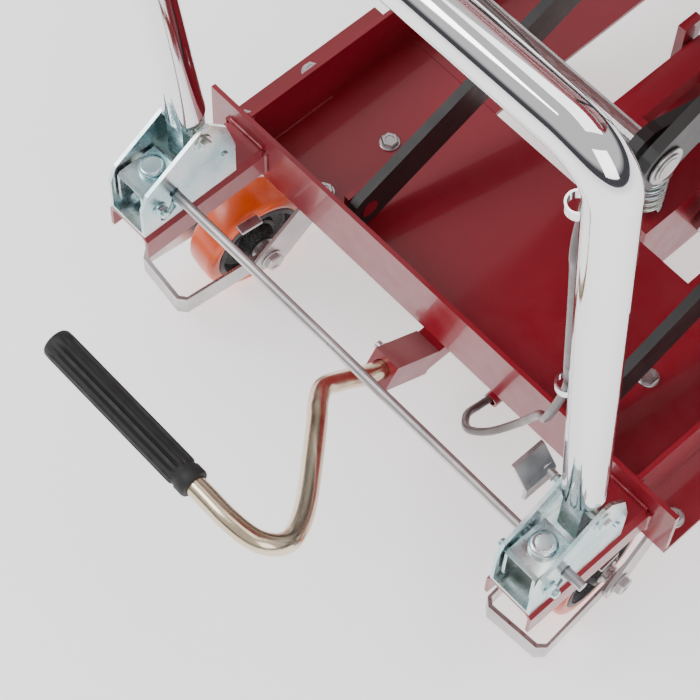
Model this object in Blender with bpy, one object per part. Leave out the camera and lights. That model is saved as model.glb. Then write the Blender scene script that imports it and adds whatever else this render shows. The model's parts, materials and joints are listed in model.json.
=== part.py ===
"""Hydraulic double-scissor lift trolley with a folding push handle and a foot pump.

Units are metres and +Z is up. The user stands on the -Y side, at the handle.
Positions on the trolley are given from the middle of the front lip: y runs back from the lip's
front face and z runs up from the deck's top face. The function spot() turns them into world places.
"""
import math

import bmesh
import bpy
from mathutils import Matrix, Vector

# Base frame
GAP = 0.0004              # clearance between touching pieces
DECK_TOP = 0.134          # height of the deck above the floor
FRONT_Y = -0.35104        # world y of the front lip
DECK_HALF = 0.2486
DECK_DEPTH = 0.177
SHEET = 0.004
LIP_HEIGHT = 0.054
BASE_LENGTH = 0.960
REAR_DECK_Y = 0.780
WALL_X = 0.206            # inner face of a side rail's wall
RAIL_FLANGE = 0.100       # width of the inward flange the rollers run on

# Handle mounts
HANDLE_X = 0.206
MOUNT_TOP = 0.035
MOUNT_DEPTH = 0.027
MOUNT_WIDTH = 0.044
MOUNT_LENGTH = 0.121
BRACKET_FRONT = -0.121    # front edge of the zinc bracket
BRACKET_SHEET = 0.003
BRACKET_HALF = 0.0195
PIVOT_Y, PIVOT_Z = -0.0605, 0.104
LATCH_Y, LATCH_Z = -0.105, 0.060
SLOT_RADIUS = 0.0165      # cross rod's distance from the latch pivot
ROD_ANGLE = math.radians(14)
ROD_R = 0.004
PIN_R = 0.004
ROD_LEFT, ROD_RIGHT = -0.195, 0.242
ROD_Y = LATCH_Y + SLOT_RADIUS * math.cos(ROD_ANGLE)
ROD_Z = LATCH_Z + SLOT_RADIUS * math.sin(ROD_ANGLE)

# Handle
TUBE_R = 0.016
TUBE_WALL = 0.0025
HANDLE_TOP = 0.578
HANDLE_LEAN = -0.124      # dy for each dz
LEG_Y = -0.045            # where a leg's axis would meet the deck's height
LEG_END = 0.126
HANDLE_BEND = 0.034

# Casters
WHEEL_R = 0.050
WHEEL_HALF = 0.016
CASTER_X = 0.1885
CASTER_Y = 0.0589
CASTER_TRAIL = 0.070
CASTER_HEADING = {"left": math.radians(-6), "right": math.radians(4)}
REAR_CASTER_Y = 0.868
AXLE_R = 0.005
PLATE_X, PLATE_Y = 0.057, 0.046   # half sizes of a caster's top plate
PLATE_THICK = 0.004
CHEEK_INNER, CHEEK_OUTER = 0.0302, 0.0332

# Scissors
ARM_LENGTH = 0.900
ARM_HEIGHT = 0.040
ARM_THICK = 0.008
ARM_ANGLE = math.radians(22)
ARM_FOOT_Y, ARM_FOOT_Z = 0.030, 0.0225
SCISSOR_X = 0.0195        # the scissors stand a little to the right, clear of the pump
OUTER_X = 0.1175          # inner face of an outer arm, from the scissors' middle
INNER_X = 0.1055          # inner face of an inner arm, from the scissors' middle
SHAFT_R = 0.008
HOLE_R = 0.0084
ROLLER_R = 0.022
ROLLER_X = 0.1295
ROLLER_WIDTH = 0.022
LIFT_REACH = 0.740        # lift shaft's distance along the lower outer arm

# Hydraulics
PUMP_X = 0.031
BLOCK_HALF = 0.022
BLOCK_FRONT, BLOCK_REAR = 0.186, 0.345
CYLINDER_X = 0.078
CYLINDER_Y, CYLINDER_Z = 0.240, -0.035
BARREL_R = 0.020
BARREL_LENGTH = 0.420
RAM_R = 0.012
RAM_START = 0.075         # the ram's hidden end, along from the base pin
PLUNGER_Y = 0.205
PLUNGER_R = 0.008
PLUNGER_TOP = 0.055
PEDAL_PIVOT_Y, PEDAL_PIVOT_Z = 0.302, 0.067
SPRING_COILS = 5.5

# Foot pedal
PEDAL_X = -0.008
PEDAL_RISE = math.radians(32)
SOCKET_Y, SOCKET_Z = -0.005, -0.050
SOCKET_HALF = 0.0125
PEDAL_R = 0.008
GRIP_R = 0.0125
GRIP_LENGTH = 0.150

# Platform
PLATFORM_TOP = 0.030      # sheet's top face above the top pivots
PLATFORM_SKIRT = 0.052

SEGMENTS = 20
ARM_RUN = ARM_LENGTH * math.cos(ARM_ANGLE)
ARM_LIFT = ARM_LENGTH * math.sin(ARM_ANGLE)

COLOURS = {
    "red_paint": ((0.36, 0.012, 0.03), 0.25, 0.0),
    "black_paint": ((0.02, 0.02, 0.02), 0.4, 0.0),
    "zinc": ((0.62, 0.68, 0.70), 0.3, 1.0),
    "chrome": ((0.85, 0.85, 0.86), 0.08, 1.0),
    "gold_zinc": ((0.70, 0.58, 0.38), 0.25, 1.0),
    "steel": ((0.50, 0.50, 0.50), 0.35, 1.0),
    "orange_tread": ((0.85, 0.13, 0.02), 0.4, 0.0),
    "black_core": ((0.03, 0.03, 0.03), 0.5, 0.0),
    "rubber": ((0.015, 0.015, 0.015), 0.7, 0.0),
    "cable": ((0.03, 0.02, 0.02), 0.5, 0.0),
}


def spot(x, y, z):
    """World place of a point given from the front lip and the deck's top."""
    return Vector((x, FRONT_Y + y, DECK_TOP + z))


def clear_scene():
    for thing in list(bpy.data.objects):
        bpy.data.objects.remove(thing, do_unlink=True)


def material(name):
    """The named Principled material, made once."""
    found = bpy.data.materials.get(name)
    if found:
        return found
    colour, roughness, metallic = COLOURS[name]
    made = bpy.data.materials.new(name)
    made.use_nodes = True
    shader = made.node_tree.nodes["Principled BSDF"]
    shader.inputs["Base Color"].default_value = (*colour, 1.0)
    shader.inputs["Roughness"].default_value = roughness
    shader.inputs["Metallic"].default_value = metallic
    return made


def prism(outline, axis, low, high):
    """A solid with a flat outline, extruded along one world axis from low to high."""
    def place(u, v, w):
        return {"X": (w, u, v), "Y": (u, w, v), "Z": (u, v, w)}[axis]
    shape = bmesh.new()
    near = [shape.verts.new(place(u, v, low)) for u, v in outline]
    far = [shape.verts.new(place(u, v, high)) for u, v in outline]
    shape.faces.new(near)
    shape.faces.new(list(reversed(far)))
    for i in range(len(outline)):
        j = (i + 1) % len(outline)
        shape.faces.new((near[j], near[i], far[i], far[j]))
    bmesh.ops.recalc_face_normals(shape, faces=shape.faces)
    return shape


def box(low, high):
    (x0, y0, z0), (x1, y1, z1) = low, high
    return prism([(x0, y0), (x1, y0), (x1, y1), (x0, y1)], "Z", z0, z1)


def turned(profile, segments=SEGMENTS, ring=False):
    """A solid of revolution about X from (x, radius) points; a ring's profile is a closed loop."""
    shape = bmesh.new()
    rows = []
    for x, radius in profile:
        if radius == 0:
            rows.append([shape.verts.new((x, 0, 0))])
            continue
        rows.append([shape.verts.new((x, radius * math.cos(a), radius * math.sin(a)))
                     for a in (2 * math.pi * k / segments for k in range(segments))])
    pairs = list(zip(rows, rows[1:] + rows[:1])) if ring else list(zip(rows, rows[1:]))
    for one, two in pairs:
        for k in range(segments):
            n = (k + 1) % segments
            corners = [one[k % len(one)], two[k % len(two)], two[n % len(two)], one[n % len(one)]]
            shape.faces.new(list(dict.fromkeys(corners)))
    bmesh.ops.recalc_face_normals(shape, faces=shape.faces)
    return shape


def rod(start, end, radius, segments=SEGMENTS):
    """A plain round bar between two points."""
    start, end = Vector(start), Vector(end)
    shape = turned([(0, 0), (0, radius), ((end - start).length, radius), ((end - start).length, 0)],
                   segments)
    turn = Vector((1, 0, 0)).rotation_difference(end - start).to_matrix().to_4x4()
    shape.transform(Matrix.Translation(start) @ turn)
    return shape


def swept(path, radius, sides, inner=None):
    """A round bar along a path, or with an inner radius a tube that is open at both ends."""
    shape = bmesh.new()
    side = None
    loops = {"outer": [], "inner": []}
    for i, point in enumerate(path):
        ahead = (path[min(i + 1, len(path) - 1)] - path[max(i - 1, 0)]).normalized()
        if side is None:
            side = ahead.orthogonal().normalized()
        side = (side - ahead * side.dot(ahead)).normalized()
        up = ahead.cross(side)
        for name, size in (("outer", radius), ("inner", inner)):
            if size:
                loops[name].append([
                    shape.verts.new(point + size * (side * math.cos(a) + up * math.sin(a)))
                    for a in (2 * math.pi * k / sides for k in range(sides))])

    def skin(one, two):
        for k in range(sides):
            n = (k + 1) % sides
            shape.faces.new((one[k], one[n], two[n], two[k]))
    for name in loops:
        for one, two in zip(loops[name], loops[name][1:]):
            skin(one, two)
    if inner:
        skin(loops["outer"][0], loops["inner"][0])
        skin(loops["outer"][-1], loops["inner"][-1])
    else:
        shape.faces.new(loops["outer"][0])
        shape.faces.new(loops["outer"][-1])
    bmesh.ops.recalc_face_normals(shape, faces=shape.faces)
    return shape


def rounded_path(corners, bend, steps):
    """A path through corner points with each inner corner rounded to the bend radius."""
    path = [corners[0]]
    for before, corner, after in zip(corners, corners[1:], corners[2:]):
        back = (before - corner).normalized()
        on = (after - corner).normalized()
        half = back.angle(on) / 2
        middle = corner + (back + on).normalized() * bend / math.sin(half)
        start = corner + back * bend / math.tan(half) - middle
        stop = corner + on * bend / math.tan(half) - middle
        total = start.angle(stop)
        for k in range(steps + 1):
            t = k / steps
            blend = (start * math.sin((1 - t) * total) + stop * math.sin(t * total)) / math.sin(total)
            path.append(middle + blend)
    return path + [corners[-1]]


def smooth_path(points, count):
    """Points along a smooth curve that passes through the given points."""
    path = []
    ends = [points[0] * 2 - points[1]] + points + [points[-1] * 2 - points[-2]]
    pieces = len(points) - 1
    for k in range(count + 1):
        whole = min(int(k * pieces / count), pieces - 1)
        t = k * pieces / count - whole
        a, b, c, d = ends[whole:whole + 4]
        path.append(0.5 * (2 * b + (c - a) * t + (2 * a - 5 * b + 4 * c - d) * t ** 2
                           + (3 * b - a - 3 * c + d) * t ** 3))
    return path


def finish(name, shape, paint, origin=(0, 0, 0), parent=None):
    """Make an object from a world-space shape, with its origin at the given place."""
    origin = Vector(origin)
    mesh = bpy.data.meshes.new(name)
    shape.transform(Matrix.Translation(-origin))
    shape.to_mesh(mesh)
    shape.free()
    made = bpy.data.objects.new(name, mesh)
    bpy.context.scene.collection.objects.link(made)
    made.location = origin
    made.data.materials.append(material(paint))
    mesh.shade_smooth()
    mesh.set_sharp_from_angle(angle=math.radians(35))
    if parent:
        made.parent = parent
        made.location = origin - parent.location
    return made


def axis_empty(name, place):
    """An empty on a joint's axis, which the moving pieces hang from."""
    made = bpy.data.objects.new(name, None)
    bpy.context.scene.collection.objects.link(made)
    made.location = place
    return made


def combine(made, shapes, operation):
    """Join shapes to an object, or cut them from it, and keep the result as plain mesh."""
    for shape in shapes:
        shape.transform(Matrix.Translation(-world_place(made)))
        mesh = bpy.data.meshes.new("tool")
        shape.to_mesh(mesh)
        shape.free()
        tool = bpy.data.objects.new("tool", mesh)
        bpy.context.scene.collection.objects.link(tool)
        tool.matrix_world = Matrix.Translation(world_place(made))
        step = made.modifiers.new("combine", "BOOLEAN")
        step.operation = operation
        step.solver = "EXACT"
        step.object = tool
        bpy.context.view_layer.update()
        result = bpy.data.meshes.new_from_object(
            made.evaluated_get(bpy.context.evaluated_depsgraph_get()))
        made.modifiers.clear()
        made.data = result
        bpy.data.objects.remove(tool, do_unlink=True)
    made.data.shade_smooth()
    made.data.set_sharp_from_angle(angle=math.radians(35))
    return made


def world_place(made):
    """World location of an object that has at most one unrotated parent."""
    return made.location + (made.parent.location if made.parent else Vector())


def cut(made, *shapes):
    return combine(made, shapes, "DIFFERENCE")


def join(made, *shapes):
    return combine(made, shapes, "UNION")


# ---- base frame ----

def build_decks():
    """Front and rear decks, each with an upright lip at its outer end."""
    for name, near, far, lip in (("front_deck", 0.0, DECK_DEPTH, 0.0),
                                 ("rear_deck", REAR_DECK_Y, BASE_LENGTH, BASE_LENGTH - SHEET)):
        half = DECK_HALF - GAP
        floor = box(spot(-DECK_HALF, near, -SHEET), spot(DECK_HALF, far, 0))
        upright = box(spot(-half, lip, -SHEET / 2), spot(half, lip + SHEET, LIP_HEIGHT))
        deck = join(finish(name, floor, "red_paint"), upright)
        if lip == 0:
            join(deck, *pivot_lugs())


def pivot_lugs():
    """Two upright lugs just outside the lower outer arms, each with a pivot pin."""
    shapes = []
    face = OUTER_X + ARM_THICK
    near, far, top = ARM_FOOT_Y - 0.014, ARM_FOOT_Y + 0.014, 0.038
    for side in (-1, 1):
        x0, x1 = sorted((SCISSOR_X + side * (face + 0.0012), SCISSOR_X + side * (face + 0.0062)))
        shapes.append(box(spot(x0, near, -SHEET / 2), spot(x1, far, top)))
        x0, x1 = sorted((SCISSOR_X + side * (OUTER_X - 0.0008), SCISSOR_X + side * (face + 0.0030)))
        shapes.append(rod(spot(x0, ARM_FOOT_Y, ARM_FOOT_Z), spot(x1, ARM_FOOT_Y, ARM_FOOT_Z),
                          SHAFT_R, 16))
    return shapes


def build_rails():
    """Side rails: an upright wall on the decks with an inward flange between them."""
    for side, name in ((-1, "side_rail_left"), (1, "side_rail_right")):
        def span(x0, x1):
            return sorted((side * x0, side * x1))
        wall_x = span(WALL_X, WALL_X + SHEET)
        low = spot(wall_x[0], SHEET + GAP, GAP)
        high = spot(wall_x[1], BASE_LENGTH - SHEET - GAP, LIP_HEIGHT)
        rail = finish(name, box(low, high), "red_paint")
        flange_x = span(WALL_X - RAIL_FLANGE, WALL_X + SHEET)
        low = spot(flange_x[0], DECK_DEPTH + GAP, -SHEET)
        high = spot(flange_x[1], REAR_DECK_Y - GAP, 0.0)
        web_x = span(WALL_X, WALL_X + SHEET)
        web_low = spot(web_x[0], DECK_DEPTH + GAP, -SHEET / 2)
        web_high = spot(web_x[1], REAR_DECK_Y - GAP, SHEET)
        join(rail, box(web_low, web_high), box(low, high))


def build_handle_mounts():
    """Short channels, open below, welded to the lip, and the zinc brackets on them."""
    for side, word in ((-1, "left"), (1, "right")):
        x = side * HANDLE_X
        half = MOUNT_WIDTH / 2
        wall = 0.003
        bottom = MOUNT_TOP - MOUNT_DEPTH
        soft = 0.005
        outer = [(x - half, bottom), (x - half, MOUNT_TOP - soft), (x - half + soft, MOUNT_TOP),
                 (x + half - soft, MOUNT_TOP), (x + half, MOUNT_TOP - soft), (x + half, bottom)]
        inner = [(x + half - wall, bottom), (x + half - wall, MOUNT_TOP - soft - wall / 2),
                 (x + half - soft - wall / 2, MOUNT_TOP - wall),
                 (x - half + soft + wall / 2, MOUNT_TOP - wall),
                 (x - half + wall, MOUNT_TOP - soft - wall / 2), (x - half + wall, bottom)]
        outline = [(u, v + DECK_TOP) for u, v in outer + inner]
        finish("handle_mount_" + word,
               prism(outline, "Y", FRONT_Y - MOUNT_LENGTH, FRONT_Y - GAP), "red_paint")
        build_bracket("bracket_" + word, x)


def arc_slot(centre, radius, half_width, start, stop):
    """Outline of a curved slot around a centre, with round ends."""
    steps = 6
    outline = []
    for k in range(steps + 1):
        a = start + (stop - start) * k / steps
        outline.append((centre[0] + (radius + half_width) * math.cos(a),
                        centre[1] + (radius + half_width) * math.sin(a)))
    for k in range(1, steps):
        turn = stop + math.pi * k / steps
        outline.append((centre[0] + radius * math.cos(stop) + half_width * math.cos(turn),
                        centre[1] + radius * math.sin(stop) + half_width * math.sin(turn)))
    for k in range(steps + 1):
        a = stop + (start - stop) * k / steps
        outline.append((centre[0] + (radius - half_width) * math.cos(a),
                        centre[1] + (radius - half_width) * math.sin(a)))
    for k in range(1, steps):
        turn = start + math.pi + math.pi * k / steps
        outline.append((centre[0] + radius * math.cos(start) + half_width * math.cos(turn),
                        centre[1] + radius * math.sin(start) + half_width * math.sin(turn)))
    return outline


def build_bracket(name, x):
    """Zinc bracket: a base with two tall cheeks, cut for the rod's arc and the two pivots."""
    base = MOUNT_TOP + GAP
    cheek = [(0, 0), (0, 0.036), (0.006, 0.050), (0.062, 0.084), (0.068, 0.084), (0.084, 0.066),
             (0.092, 0.036), (0.092, 0.0)]
    outline = [(FRONT_Y + BRACKET_FRONT + y, DECK_TOP + base + z) for y, z in cheek]
    bracket = finish(name, prism(outline, "X", x - BRACKET_HALF, x + BRACKET_HALF), "zinc")
    inside = box(spot(x - BRACKET_HALF + BRACKET_SHEET, BRACKET_FRONT - 0.01, base + BRACKET_SHEET),
                 spot(x + BRACKET_HALF - BRACKET_SHEET, BRACKET_FRONT + 0.1, base + 0.13))
    reach = BRACKET_HALF + 0.01
    centre = (FRONT_Y + LATCH_Y, DECK_TOP + LATCH_Z)
    slot = arc_slot(centre, SLOT_RADIUS, ROD_R + 0.0008, math.radians(-72), math.radians(26))
    holes = [rod(spot(x - reach, y, z), spot(x + reach, y, z), PIN_R + GAP, 12)
             for y, z in ((PIVOT_Y, PIVOT_Z), (LATCH_Y, LATCH_Z))]
    cut(bracket, inside, prism(slot, "X", x - reach, x + reach), *holes)


# ---- handle and latch ----

def handle_point(x, z):
    return spot(x, LEG_Y + HANDLE_LEAN * z, z)


def build_handle():
    """Bent chrome tube with a zinc foot and a pivot bolt in each leg."""
    hinge = axis_empty("handle_axis", spot(0, PIVOT_Y, PIVOT_Z))
    corners = [handle_point(-HANDLE_X, LEG_END), handle_point(-HANDLE_X, HANDLE_TOP),
               handle_point(HANDLE_X, HANDLE_TOP), handle_point(HANDLE_X, LEG_END)]
    path = rounded_path(corners, HANDLE_BEND, 8)
    finish("handle_tube", swept(path, TUBE_R, 20, TUBE_R - TUBE_WALL), "chrome",
           hinge.location, hinge)
    bolt_half = BRACKET_HALF + 0.005
    for side, word in ((-1, "left"), (1, "right")):
        x = side * HANDLE_X
        plug = swept([handle_point(x, LEG_END - 0.010), handle_point(x, LEG_END + 0.050)],
                     TUBE_R - TUBE_WALL - GAP, 16)
        foot = finish("handle_foot_" + word, plug, "zinc", hinge.location, hinge)
        lug = prism([(FRONT_Y + y, DECK_TOP + z) for y, z in
                     ((-0.0705, 0.074), (-0.0705, 0.1205), (-0.0485, 0.1205), (-0.0485, 0.090),
                      (-0.058, 0.065), (-0.063, 0.062), (-0.068, 0.065))], "X", x - 0.009, x + 0.009)
        bolt = rod(spot(x - bolt_half, PIVOT_Y, PIVOT_Z), spot(x + bolt_half, PIVOT_Y, PIVOT_Z),
                   PIN_R, 12)
        join(foot, lug, bolt)


def build_latch():
    """Two latch blocks on their pins, the cross rod that ties them, and the foot tab."""
    base = axis_empty("latch_axis", spot(0, LATCH_Y, LATCH_Z))
    finish("latch_rod", rod(spot(ROD_LEFT, ROD_Y, ROD_Z), spot(ROD_RIGHT, ROD_Y, ROD_Z), ROD_R, 12),
           "steel", base.location, base)
    pin_half = BRACKET_HALF + 0.006
    wall = 0.0025
    for side, word in ((-1, "left"), (1, "right")):
        x = side * HANDLE_X
        half = BRACKET_HALF - BRACKET_SHEET - 0.002
        side_view = [(-0.116, 0.047), (-0.116, 0.078), (-0.113, 0.081), (-0.0795, 0.081),
                     (-0.0765, 0.078), (-0.0765, 0.057), (-0.085, 0.047)]
        block = finish("latch_block_" + word,
                       prism([(FRONT_Y + y, DECK_TOP + z) for y, z in side_view],
                             "X", x - half, x + half), "zinc", base.location, base)
        hollow = box(spot(x - half + wall, -0.15, 0), spot(x + half - wall, -0.05, 0.081 - wall))
        boss = rod(spot(x, -0.094, 0.079), spot(x, -0.094, 0.085), 0.0095, 24)
        pin = rod(spot(x - pin_half, LATCH_Y, LATCH_Z), spot(x + pin_half, LATCH_Y, LATCH_Z), PIN_R, 12)
        hole = rod(spot(x - 0.03, ROD_Y, ROD_Z), spot(x + 0.03, ROD_Y, ROD_Z), ROD_R + GAP, 12)
        cut(block, hollow)
        join(block, boss, pin)
        cut(block, hole)
    build_release_tab()


def build_release_tab():
    """Bent foot tab on its own bolt, just inside the right bracket."""
    hinge = axis_empty("tab_axis", spot(0, PIVOT_Y, PIVOT_Z))
    x = HANDLE_X - BRACKET_HALF - 0.0135
    thick = 0.003
    lean = 0.014
    low, bend, high = PIVOT_Z - 0.012, PIVOT_Z + 0.002, PIVOT_Z + 0.018
    outline = [(x, low), (x + thick, low), (x + thick, bend), (x + thick - lean, high),
               (x - lean, high), (x, bend)]
    near, far = FRONT_Y + PIVOT_Y - 0.023, FRONT_Y + PIVOT_Y + 0.006
    shape = prism([(u, v + DECK_TOP) for u, v in outline], "Y", near, far)
    tab = finish("release_tab", shape, "steel", hinge.location, hinge)
    bolt = rod(spot(x - 0.005, PIVOT_Y, PIVOT_Z), spot(x + 0.0075, PIVOT_Y, PIVOT_Z), PIN_R, 12)
    join(tab, bolt)


def build_release_lever():
    """Hand lever under the crossbar, which pulls the release cable."""
    place = handle_point(-0.030, HANDLE_TOP) + Vector((0, TUBE_R + 0.004, -0.006))
    hinge = axis_empty("release_axis", place)
    shape = box(place + Vector((-0.012, -0.0025, -0.012)), place + Vector((0.085, 0.0025, 0.004)))
    finish("release_lever", shape, "zinc", place, hinge)


def build_cable():
    """Release cable: along the handle, then a loose loop into its conduit under the lip."""
    upper = [handle_point(0.075, HANDLE_TOP) + Vector((0, TUBE_R + 0.006, -0.004)),
             handle_point(0.130, HANDLE_TOP) + Vector((0, TUBE_R + 0.007, -0.012)),
             handle_point(0.172, HANDLE_TOP - 0.045) + Vector((0, TUBE_R + 0.004, 0)),
             handle_point(0.1835, HANDLE_TOP - 0.120), handle_point(0.1840, 0.420),
             handle_point(0.1840, 0.300)]
    finish("cable_upper", swept(smooth_path(upper, 24), 0.0035, 8), "cable")
    lower = [handle_point(0.1840, 0.2995), handle_point(0.1835, 0.262), spot(0.172, -0.074, 0.200),
             spot(0.150, -0.050, 0.140), spot(0.128, -0.038, 0.080), spot(0.106, -0.042, 0.038),
             spot(0.086, -0.042, 0.012), spot(0.072, -0.028, -0.004), spot(0.070, -0.012, -0.012),
             spot(0.071, 0.004, -0.014), spot(0.072, 0.030, -0.014)]
    finish("cable_lower", swept(smooth_path(lower, 36), 0.0035, 8), "cable")


# ---- casters ----

def wheel_rings():
    """Tread and core of one wheel, turned about X."""
    half = WHEEL_HALF
    tread = [(-half, 0.0395), (-half, 0.0455), (-half + 0.004, 0.0490), (-half + 0.009, WHEEL_R),
             (half - 0.009, WHEEL_R), (half - 0.004, 0.0490), (half, 0.0455), (half, 0.0395)]
    hub = 0.0260
    bore = AXLE_R + GAP
    core = [(-hub, bore), (-hub, 0.013), (-0.008, 0.016), (-0.005, 0.030), (-half + 0.001, 0.033),
            (-half + 0.001, 0.0391), (half - 0.001, 0.0391), (half - 0.001, 0.033), (0.005, 0.030),
            (0.008, 0.016), (hub, 0.013), (hub, bore)]
    return turned(tread, 32, ring=True), turned(core, 28, ring=True)


def fork_shape(top_z, head_y):
    """Fork with two cheeks under a flat head, and the space inside; wheel centre at the origin."""
    head_half = 0.026
    cheek = [(-0.013, -0.010), (0.013, -0.012), (head_y + head_half, top_z - 0.004),
             (head_y + head_half, top_z), (head_y - head_half, top_z),
             (head_y - head_half, top_z - 0.012), (-0.016, 0.006)]
    shape = prism(cheek, "X", -CHEEK_OUTER, CHEEK_OUTER)
    inside = box((-CHEEK_INNER, -0.2, -0.2), (CHEEK_INNER, 0.2, top_z - 0.004))
    return shape, inside


def build_caster(prefix, side, y, heading, trail, fixed):
    """One caster: plate, fork, wheel core, tread, axle and foot brake."""
    swivel = spot(side * CASTER_X, y, -SHEET - GAP)
    turn = Matrix.Rotation(heading, 4, "Z")
    centre = Vector((swivel.x, swivel.y, WHEEL_R)) + turn @ Vector((0, -trail, 0))
    pose = Matrix.Translation(centre) @ turn
    hinge = axis_empty(prefix + "_swivel", swivel)
    spin = axis_empty(prefix + "_spin", centre)
    top_z = swivel.z - PLATE_THICK - WHEEL_R - GAP
    shape, inside = fork_shape(top_z, trail)
    hole = rod((-0.04, 0, 0), (0.04, 0, 0), AXLE_R + GAP, 12)
    for piece in (shape, inside, hole):
        piece.transform(pose)
    edge = Vector((PLATE_X, PLATE_Y, 0))
    thick = Vector((0, 0, PLATE_THICK))
    if fixed:
        fork = finish(prefix + "_fork", shape, "zinc", swivel, None)
        cut(fork, inside, hole)
        sunk = Vector((0, 0, GAP + 0.0001))
        join(fork, box(swivel - edge - thick - sunk, swivel + edge))
    else:
        finish(prefix + "_plate", box(swivel - edge - thick, swivel + edge), "zinc")
        fork = finish(prefix + "_fork", shape, "zinc", swivel, hinge)
        cut(fork, inside, hole)
    tread, core = wheel_rings()
    for part, paint, ring in (("_tread", "orange_tread", tread), ("_core", "black_core", core)):
        ring.transform(pose)
        finish(prefix + part, ring, paint, centre, spin)
    if fixed:
        return
    head = 0.0085
    axle = turned([(-0.0405, 0), (-0.0405, head), (-0.0336, head), (-0.0336, AXLE_R),
                   (0.0336, AXLE_R), (0.0336, head), (0.0405, head), (0.0405, 0)], 12)
    axle.transform(pose)
    finish(prefix + "_axle", axle, "zinc", centre, None)
    build_brake(prefix, pose, centre)


def build_brake(prefix, pose, centre):
    """Foot brake: a strap hoop that hangs on the axle inside the fork and runs round the wheel."""
    outer, thick, reach = 0.0296, 0.0024, 0.087
    inner = outer - thick
    outline = [(-outer, 0.012), (-outer, -reach + 0.006), (-outer + 0.006, -reach),
               (outer - 0.006, -reach), (outer, -reach + 0.006), (outer, 0.012),
               (inner, 0.012), (inner, -reach + 0.008), (inner - 0.005, -reach + thick + 0.001),
               (-inner + 0.005, -reach + thick + 0.001), (-inner, -reach + 0.008), (-inner, 0.012)]
    shape = prism(outline, "Z", -0.011, 0.009)
    shape.transform(pose)
    hinge = axis_empty(prefix + "_brake_axis", centre)
    brake = finish(prefix + "_brake", shape, "zinc", centre, hinge)
    hole = rod((-0.04, 0, 0), (0.04, 0, 0), AXLE_R + GAP, 12)
    hole.transform(pose)
    cut(brake, hole)


# ---- scissors ----

def arm_shape(x0, x1):
    """Flat arm with round ends, along +Y from the origin."""
    half = ARM_HEIGHT / 2
    outline = []
    for centre, start in ((ARM_LENGTH, -90), (0, 90)):
        for k in range(9):
            a = math.radians(start + 22.5 * k)
            outline.append((centre + half * math.cos(a), half * math.sin(a)))
    return prism(outline, "X", x0, x1)


def build_arms(level, foot):
    """One scissor level: two outer arms that rise backward and an inner pair that falls."""
    crossing = foot + Vector((0, ARM_RUN / 2, ARM_LIFT / 2))
    holes = (0, ARM_LENGTH / 2, ARM_LENGTH)
    rise = Matrix.Translation(foot) @ Matrix.Rotation(ARM_ANGLE, 4, "X")
    fall = (Matrix.Translation(foot + Vector((0, 0, ARM_LIFT)))
            @ Matrix.Rotation(-ARM_ANGLE, 4, "X"))
    outer_axis = axis_empty(level + "_outer_axis", foot)
    inner_axis = axis_empty(level + "_inner_axis", crossing)

    def drill(made, pose, places):
        for place in places:
            hole = rod((-0.2, place, 0), (0.2, place, 0), HOLE_R, 16)
            hole.transform(pose)
            cut(made, hole)
    for side, word in ((-1, "left"), (1, "right")):
        x0, x1 = sorted((side * OUTER_X, side * (OUTER_X + ARM_THICK)))
        shape = arm_shape(x0, x1)
        shape.transform(rise)
        arm = finish(level + "_outer_arm_" + word, shape, "black_paint", foot, outer_axis)
        drill(arm, rise, holes + ((LIFT_REACH,) if level == "lower" else ()))
    shape = arm_shape(-INNER_X - ARM_THICK, -INNER_X)
    shape.transform(fall)
    frame = finish(level + "_inner_frame", shape, "black_paint", crossing, inner_axis)
    other = arm_shape(INNER_X, INNER_X + ARM_THICK)
    tie_y = 0.810 if level == "lower" else 0.200
    tie = box((-INNER_X - 0.004, tie_y - 0.015, -0.004), (INNER_X + 0.004, tie_y + 0.015, 0.004))
    for piece in (other, tie):
        piece.transform(fall)
    join(frame, tie, other)
    drill(frame, fall, holes)


def shaft(name, place, half, radius, parent=None):
    shape = rod(place + Vector((-half, 0, 0)), place + Vector((half, 0, 0)), radius, 16)
    return finish(name, shape, "steel", place, parent)


def roller_shaft(name, place):
    """Shaft with a roller turned on each end."""
    end = ROLLER_X + ROLLER_WIDTH
    shape = turned([(-end, 0), (-end, ROLLER_R - GAP), (-ROLLER_X, ROLLER_R - GAP),
                    (-ROLLER_X, SHAFT_R), (ROLLER_X, SHAFT_R), (ROLLER_X, ROLLER_R - GAP),
                    (end, ROLLER_R - GAP), (end, 0)], 20)
    shape.transform(Matrix.Translation(place))
    finish(name, shape, "steel", place)


def build_scissors():
    foot = spot(SCISSOR_X, ARM_FOOT_Y, ARM_FOOT_Z)
    up = Vector((0, 0, ARM_LIFT))
    run = Vector((0, ARM_RUN, 0))
    build_arms("lower", foot)
    build_arms("upper", foot + up)
    half = OUTER_X + ARM_THICK + 0.004
    shaft("lower_centre_shaft", foot + (run + up) / 2, half, SHAFT_R)
    shaft("lift_shaft", foot + (run + up) * LIFT_REACH / ARM_LENGTH, half, SHAFT_R)
    shaft("middle_front_shaft", foot + up, half, SHAFT_R)
    shaft("middle_rear_shaft", foot + run + up, half, SHAFT_R)
    shaft("upper_centre_shaft", foot + up * 1.5 + run / 2, half, SHAFT_R)
    shaft("top_pivot_shaft", spot(0, ARM_FOOT_Y, ARM_FOOT_Z) + up * 2,
          DECK_HALF - SHEET - 2 * GAP, SHAFT_R)
    roller_shaft("lower_roller_shaft", foot + run)
    roller_shaft("upper_roller_shaft", foot + run + up * 2)


def build_platform():
    """Sheet platform with turned-down skirts."""
    top = ARM_FOOT_Z + 2 * ARM_LIFT + PLATFORM_TOP
    low = spot(-DECK_HALF, -0.012, top - PLATFORM_SKIRT)
    high = spot(DECK_HALF, BASE_LENGTH, top)
    platform = finish("platform", box(low, high), "red_paint")
    wall = Vector((SHEET, SHEET, 0))
    cut(platform, box(low + wall - Vector((0, 0, 0.01)), high - wall - Vector((0, 0, SHEET))))


# ---- hydraulics and pedal ----

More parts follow.
